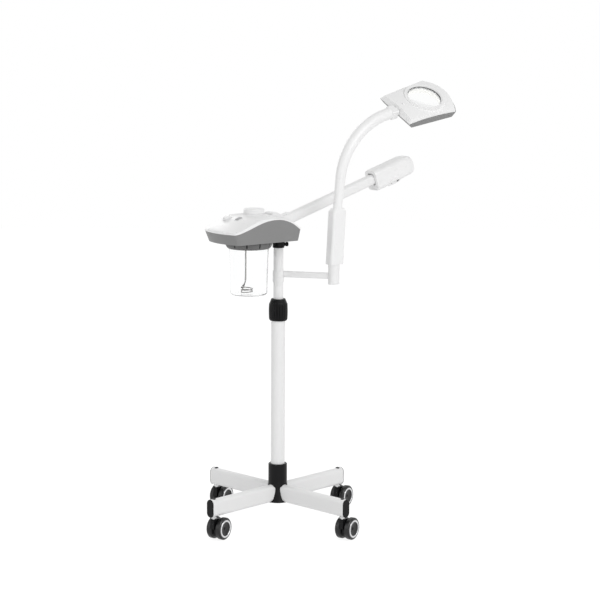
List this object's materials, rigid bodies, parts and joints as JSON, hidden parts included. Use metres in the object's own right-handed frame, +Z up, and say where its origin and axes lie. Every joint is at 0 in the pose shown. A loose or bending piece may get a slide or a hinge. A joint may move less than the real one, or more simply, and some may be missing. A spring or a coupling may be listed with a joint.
{
  "type": "facial steamer",
  "caption": "Facial steamer on a castor base: tilting head with a clear water jar, a steam arm with a nozzle, and a magnifying lamp on a bendable neck.",
  "frame": {"origin": "on the floor under the column axis", "axes": "+Z up along the column; -Y faces the viewer; +X to the right"},
  "size_m": [0.7052, 0.4963, 1.2443],
  "materials": {
    "white_metal": "satin white powder coat",
    "white_plastic": "satin moulded white plastic",
    "grey_plastic": "matt mid-grey moulded plastic",
    "black_plastic": "satin black moulded plastic",
    "dark_plastic": "dark bearing plastic",
    "wheel_black": "black wheel with satin tread",
    "steel": "bright steel",
    "clear_jar": "clear",
    "lens_glass": "clear polished lens",
    "seal_rubber": "soft grey silicone",
    "diffuser": "frosted diffuser"
  },
  "bodies": {
    "base": {"base_hub": "black_plastic", "leg_front_left": "white_metal", "leg_front_right": "white_metal", "leg_rear_right": "white_metal", "leg_rear_left": "white_metal", "leg_end_caps": "black_plastic", "leg_bolt_plugs": "white_plastic", "castor_stems": "steel", "lower_tube": "white_metal", "column_bush": "dark_plastic"},
    "height_lock": {"height_lock": "black_plastic"},
    "mast": {"mast_tube": "white_metal", "mast_glide": "dark_plastic"},
    "head": {"head_socket": "black_plastic", "head_base": "grey_plastic", "head_cover": "white_plastic", "heater": "steel", "heater_plate": "steel", "jar_seal": "seal_rubber", "steam_duct": "dark_plastic", "power_inlet": "black_plastic"},
    "head_screw": {"head_screw": "black_plastic"},
    "jar_collar": {"jar_collar": "grey_plastic"},
    "jar": {"jar": "clear_jar"},
    "filler_cap": {"filler_cap": "white_plastic"},
    "timer_knob": {"timer_knob": "white_plastic"},
    "power_switch": {"power_switch": "white_plastic"},
    "arm": {"arm_turret": "white_plastic", "arm_tube": "white_metal"},
    "nozzle": {"nozzle_cover": "white_plastic", "nozzle_base": "white_plastic", "steam_outlet": "white_plastic"},
    "stop_collar": {"stop_collar": "white_metal"},
    "collar_screw": {"collar_screw": "white_plastic"},
    "bracket": {"lamp_bracket": "white_metal"},
    "sleeve": {"neck_sleeve": "white_plastic", "neck_pin": "steel"},
    "neck_1": {"neck_link_1": "white_plastic"},
    "neck_2": {"neck_link_2": "white_plastic"},
    "neck_3": {"neck_link_3": "white_plastic"},
    "neck_4": {"neck_link_4": "white_plastic"},
    "connector": {"lamp_connector": "white_plastic"},
    "lamp": {"lamp_base": "grey_plastic", "lamp_cover": "white_plastic", "lens": "lens_glass", "lens_ring": "white_plastic", "lamp_light": "diffuser"},
    "lamp_switch": {"lamp_switch": "grey_plastic"},
    "castor_front_left": {"castor_housing_front_left": "black_plastic"},
    "castor_front_right": {"castor_housing_front_right": "black_plastic"},
    "castor_rear_right": {"castor_housing_rear_right": "black_plastic"},
    "castor_rear_left": {"castor_housing_rear_left": "black_plastic"},
    "wheel_front_left_near": {"castor_wheel_front_left_near": "wheel_black"},
    "wheel_front_left_far": {"castor_wheel_front_left_far": "wheel_black"},
    "wheel_front_right_near": {"castor_wheel_front_right_near": "wheel_black"},
    "wheel_front_right_far": {"castor_wheel_front_right_far": "wheel_black"},
    "wheel_rear_right_near": {"castor_wheel_rear_right_near": "wheel_black"},
    "wheel_rear_right_far": {"castor_wheel_rear_right_far": "wheel_black"},
    "wheel_rear_left_near": {"castor_wheel_rear_left_near": "wheel_black"},
    "wheel_rear_left_far": {"castor_wheel_rear_left_far": "wheel_black"}
  },
  "joints": [
    {"name": "column_slide", "type": "slide", "parent": "base", "child": "mast", "axis": [0, 0, 1], "range_m": [-0.045, 0.045]},
    {"name": "height_lock_turn", "type": "hinge", "parent": "base", "child": "height_lock", "pos_m": [0, 0, 0.614], "axis": [0, 0, 1], "range_deg": [0, 90]},
    {"name": "head_turn", "type": "hinge", "parent": "mast", "child": "head", "pos_m": [0, 0, 0.8], "axis": [0, 0, 1], "range_deg": [-20, 60]},
    {"name": "head_screw_turn", "type": "hinge", "parent": "head", "child": "head_screw", "pos_m": [0, 0, 0.8], "axis": [0.9962, 0.0872, 0], "continuous": true},
    {"name": "arm_turn", "type": "hinge", "parent": "head", "child": "arm", "pos_m": [0, 0, 0.85], "axis": [0, 0, 1], "range_deg": [-20, 30]},
    {"name": "nozzle_tilt", "type": "hinge", "parent": "arm", "child": "nozzle", "pos_m": [0.27937, 0.20672, 0.96664], "axis": [0.5948, -0.8039, 0], "range_deg": [-10, 8]},
    {"name": "bracket_slide", "type": "slide", "parent": "mast", "child": "stop_collar", "axis": [0, 0, -1], "range_m": [-0.06, 0.045]},
    {"name": "collar_screw_turn", "type": "hinge", "parent": "stop_collar", "child": "collar_screw", "pos_m": [0, 0, 0.70095], "axis": [-0.1219, 0.9925, 0], "continuous": true},
    {"name": "bracket_turn", "type": "hinge", "parent": "stop_collar", "child": "bracket", "pos_m": [0, 0, 0.717], "axis": [0, 0, 1], "range_deg": [-60, 30]},
    {"name": "neck_turn", "type": "hinge", "parent": "bracket", "child": "sleeve", "pos_m": [0.15262, -0.04089, 0.72], "axis": [0, 0, 1], "range_deg": [-90, 90]},
    {"name": "neck_bend", "type": "hinge", "parent": "sleeve", "child": "neck_1", "pos_m": [0.1617, -0.03417, 0.905], "axis": [0.5948, -0.8039, 0], "range_deg": [-12, 9]},
    {"name": "neck_bend_2", "type": "hinge", "parent": "neck_1", "child": "neck_2", "pos_m": [0.16958, -0.02834, 0.98843], "axis": [0.5948, -0.8039, 0], "range_deg": [-12, 9]},
    {"name": "neck_bend_3", "type": "hinge", "parent": "neck_2", "child": "neck_3", "pos_m": [0.19279, -0.01117, 1.06647], "axis": [0.5948, -0.8039, 0], "range_deg": [-12, 9]},
    {"name": "neck_bend_4", "type": "hinge", "parent": "neck_3", "child": "neck_4", "pos_m": [0.24054, 0.02417, 1.12506], "axis": [0.5948, -0.8039, 0], "range_deg": [-12, 9]},
    {"name": "neck_bend_5", "type": "hinge", "parent": "neck_4", "child": "connector", "pos_m": [0.30242, 0.06995, 1.15757], "axis": [0.5948, -0.8039, 0], "range_deg": [-12, 9]},
    {"name": "lamp_roll", "type": "hinge", "parent": "connector", "child": "lamp", "pos_m": [0.32437, 0.0862, 1.16373], "axis": [0.7842, 0.5803, 0.2198], "range_deg": [-60, 60]},
    {"name": "lamp_switch_press", "type": "slide", "parent": "lamp", "child": "lamp_switch", "axis": [-0.1716, 0.5433, -0.8218], "range_m": [0, 0.002], "stiffness_N_per_m": 1500},
    {"name": "timer_knob_turn", "type": "hinge", "parent": "head", "child": "timer_knob", "pos_m": [-0.14196, -0.05311, 0.87693], "axis": [-0.3233, -0.1261, 0.9378], "range_deg": [0, 300]},
    {"name": "power_switch_rock", "type": "hinge", "parent": "head", "child": "power_switch", "pos_m": [-0.10892, -0.08929, 0.879], "axis": [-0.5989, 0.8007, 0.0144], "range_deg": [-6, 6]},
    {"name": "jar_collar_turn", "type": "hinge", "parent": "head", "child": "jar_collar", "pos_m": [-0.08199, -0.06067, 0.806], "axis": [0, 0, 1], "range_deg": [0, 40]},
    {"name": "jar_drop", "type": "slide", "parent": "jar_collar", "child": "jar", "axis": [0, 0, -1], "range_m": [0, 0.13]},
    {"name": "cap_lift", "type": "slide", "parent": "head", "child": "filler_cap", "axis": [0, 0, 1], "range_m": [0, 0.03]},
    {"name": "castor_swivel_front_left", "type": "hinge", "parent": "base", "child": "castor_front_left", "pos_m": [-0.17678, -0.17678, 0.066], "axis": [0, 0, 1], "continuous": true},
    {"name": "castor_swivel_front_right", "type": "hinge", "parent": "base", "child": "castor_front_right", "pos_m": [0.17678, -0.17678, 0.066], "axis": [0, 0, 1], "continuous": true},
    {"name": "castor_swivel_rear_right", "type": "hinge", "parent": "base", "child": "castor_rear_right", "pos_m": [0.17678, 0.17678, 0.066], "axis": [0, 0, 1], "continuous": true},
    {"name": "castor_swivel_rear_left", "type": "hinge", "parent": "base", "child": "castor_rear_left", "pos_m": [-0.17678, 0.17678, 0.066], "axis": [0, 0, 1], "continuous": true},
    {"name": "wheel_spin_front_left_near", "type": "hinge", "parent": "castor_front_left", "child": "wheel_front_left_near", "pos_m": [-0.1628, -0.15605, 0.031], "axis": [-0.829, 0.5592, 0], "continuous": true},
    {"name": "wheel_spin_front_left_far", "type": "hinge", "parent": "castor_front_left", "child": "wheel_front_left_far", "pos_m": [-0.1628, -0.15605, 0.031], "axis": [-0.829, 0.5592, 0], "continuous": true},
    {"name": "wheel_spin_front_right_near", "type": "hinge", "parent": "castor_front_right", "child": "wheel_front_right_near", "pos_m": [0.19076, -0.15605, 0.031], "axis": [-0.829, 0.5592, 0], "continuous": true},
    {"name": "wheel_spin_front_right_far", "type": "hinge", "parent": "castor_front_right", "child": "wheel_front_right_far", "pos_m": [0.19076, -0.15605, 0.031], "axis": [-0.829, 0.5592, 0], "continuous": true},
    {"name": "wheel_spin_rear_right_near", "type": "hinge", "parent": "castor_rear_right", "child": "wheel_rear_right_near", "pos_m": [0.19076, 0.1975, 0.031], "axis": [-0.829, 0.5592, 0], "continuous": true},
    {"name": "wheel_spin_rear_right_far", "type": "hinge", "parent": "castor_rear_right", "child": "wheel_rear_right_far", "pos_m": [0.19076, 0.1975, 0.031], "axis": [-0.829, 0.5592, 0], "continuous": true},
    {"name": "wheel_spin_rear_left_near", "type": "hinge", "parent": "castor_rear_left", "child": "wheel_rear_left_near", "pos_m": [-0.1628, 0.1975, 0.031], "axis": [-0.829, 0.5592, 0], "continuous": true},
    {"name": "wheel_spin_rear_left_far", "type": "hinge", "parent": "castor_rear_left", "child": "wheel_rear_left_far", "pos_m": [-0.1628, 0.1975, 0.031], "axis": [-0.829, 0.5592, 0], "continuous": true}
  ],
  "couplings": [
    {"joint": "neck_bend_2", "follows": "neck_bend", "ratio": 1},
    {"joint": "neck_bend_3", "follows": "neck_bend", "ratio": 1},
    {"joint": "neck_bend_4", "follows": "neck_bend", "ratio": 1},
    {"joint": "neck_bend_5", "follows": "neck_bend", "ratio": 1}
  ]
}
